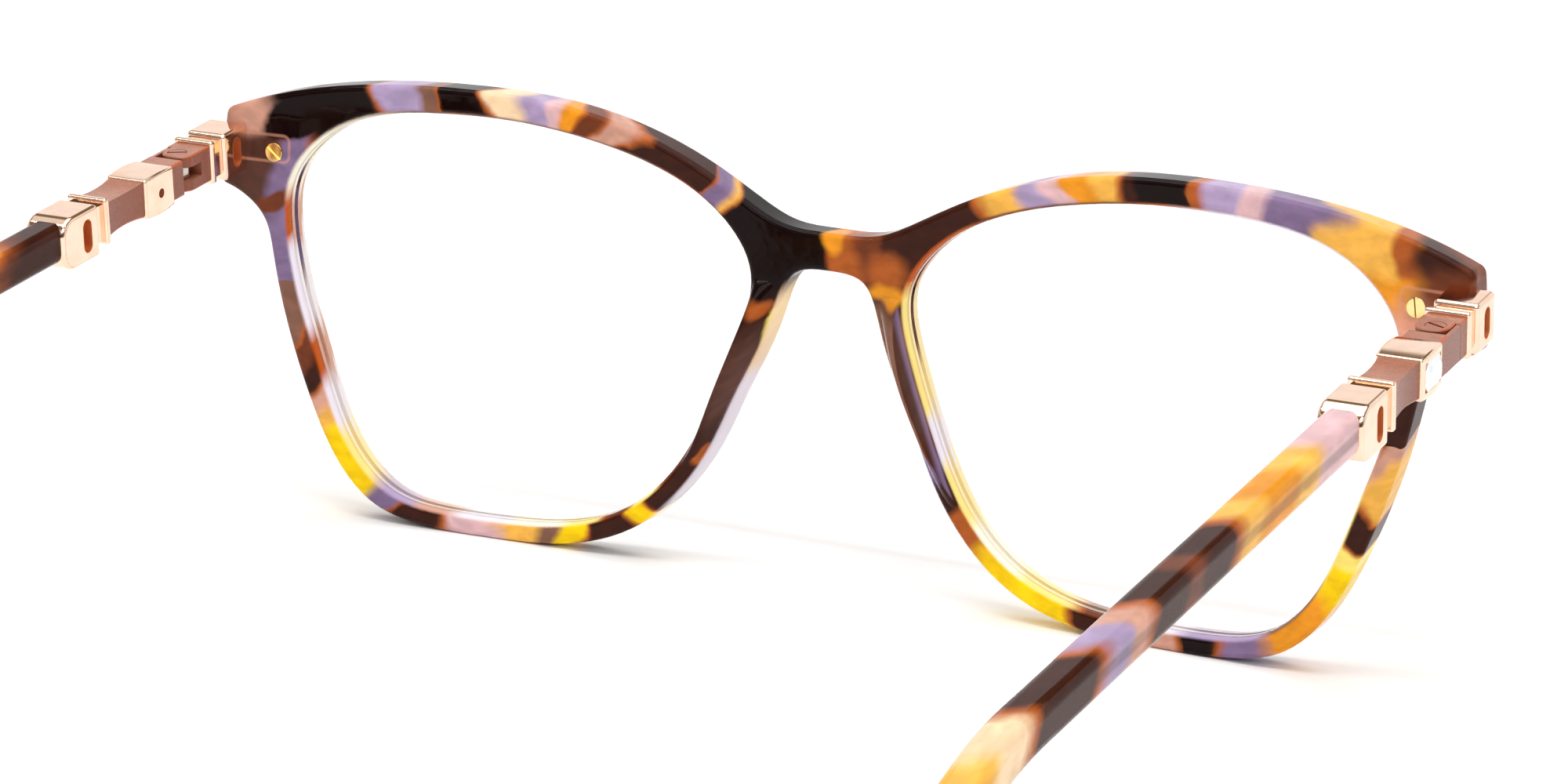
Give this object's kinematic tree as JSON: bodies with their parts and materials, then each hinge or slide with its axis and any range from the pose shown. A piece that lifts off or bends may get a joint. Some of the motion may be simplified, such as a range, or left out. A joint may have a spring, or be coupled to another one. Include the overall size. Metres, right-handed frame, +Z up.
{
  "type": "eyeglasses frame",
  "caption": "Cat-eye acetate eyeglasses frame with rose-gold link hinges, crystal-set temple sleeves, clear lenses and folding bent temples.",
  "frame": {"origin": "middle of the footprint on the table that the glasses stand on, with the temples open", "axes": "+Z up; the front faces -Y; the open temples run back along +Y; the wearer's left side is +X"},
  "size_m": [0.1424, 0.1487, 0.0471],
  "materials": {
    "tortoise_acetate": "polished mottled tortoiseshell acetate",
    "tortoise_acetate_temple": "polished mottled tortoiseshell acetate",
    "clear_lens": "clear polished display lens",
    "rose_gold": "polished rose-gold plating",
    "brown_lacquer": "satin brown lacquer with orange bevels",
    "silver_steel": "turned and polished",
    "gold_screw": "yellow-gold plated, slotted",
    "crystal": "step-cut clear crystal",
    "core_steel": "drawn wire"
  },
  "bodies": {
    "front": {"front_frame": "tortoise_acetate", "nose_pad_left": "tortoise_acetate", "nose_pad_right": "tortoise_acetate", "demo_lens_left": "clear_lens", "demo_lens_right": "clear_lens", "anchor_plate_left": "rose_gold", "anchor_plate_right": "rose_gold", "anchor_screw_left": "gold_screw", "anchor_screw_right": "gold_screw", "front_link_left": "rose_gold", "front_link_right": "rose_gold", "hinge_block_left": "brown_lacquer", "hinge_block_right": "brown_lacquer", "hinge_screw_left": "brown_lacquer", "hinge_screw_right": "brown_lacquer"},
    "temple_left": {"hinge_leaf_left": "silver_steel", "temple_bar_left": "brown_lacquer", "mid_sleeve_left": "rose_gold", "baguette_stone_left": "crystal", "rear_link_left": "rose_gold", "temple_arm_left": "tortoise_acetate_temple", "core_wire_left": "core_steel"},
    "temple_right": {"hinge_leaf_right": "silver_steel", "temple_bar_right": "brown_lacquer", "mid_sleeve_right": "rose_gold", "baguette_stone_right": "crystal", "rear_link_right": "rose_gold", "temple_arm_right": "tortoise_acetate_temple", "core_wire_right": "core_steel"}
  },
  "joints": [
    {"name": "left_hinge", "type": "hinge", "parent": "front", "child": "temple_left", "pos_m": [0.0684, -0.05834, 0.03735], "axis": [0, 0.1288, 0.9917], "range_deg": [0, 92]},
    {"name": "right_hinge", "type": "hinge", "parent": "front", "child": "temple_right", "pos_m": [-0.0684, -0.05834, 0.03735], "axis": [0, -0.1288, -0.9917], "range_deg": [0, 84]}
  ]
}
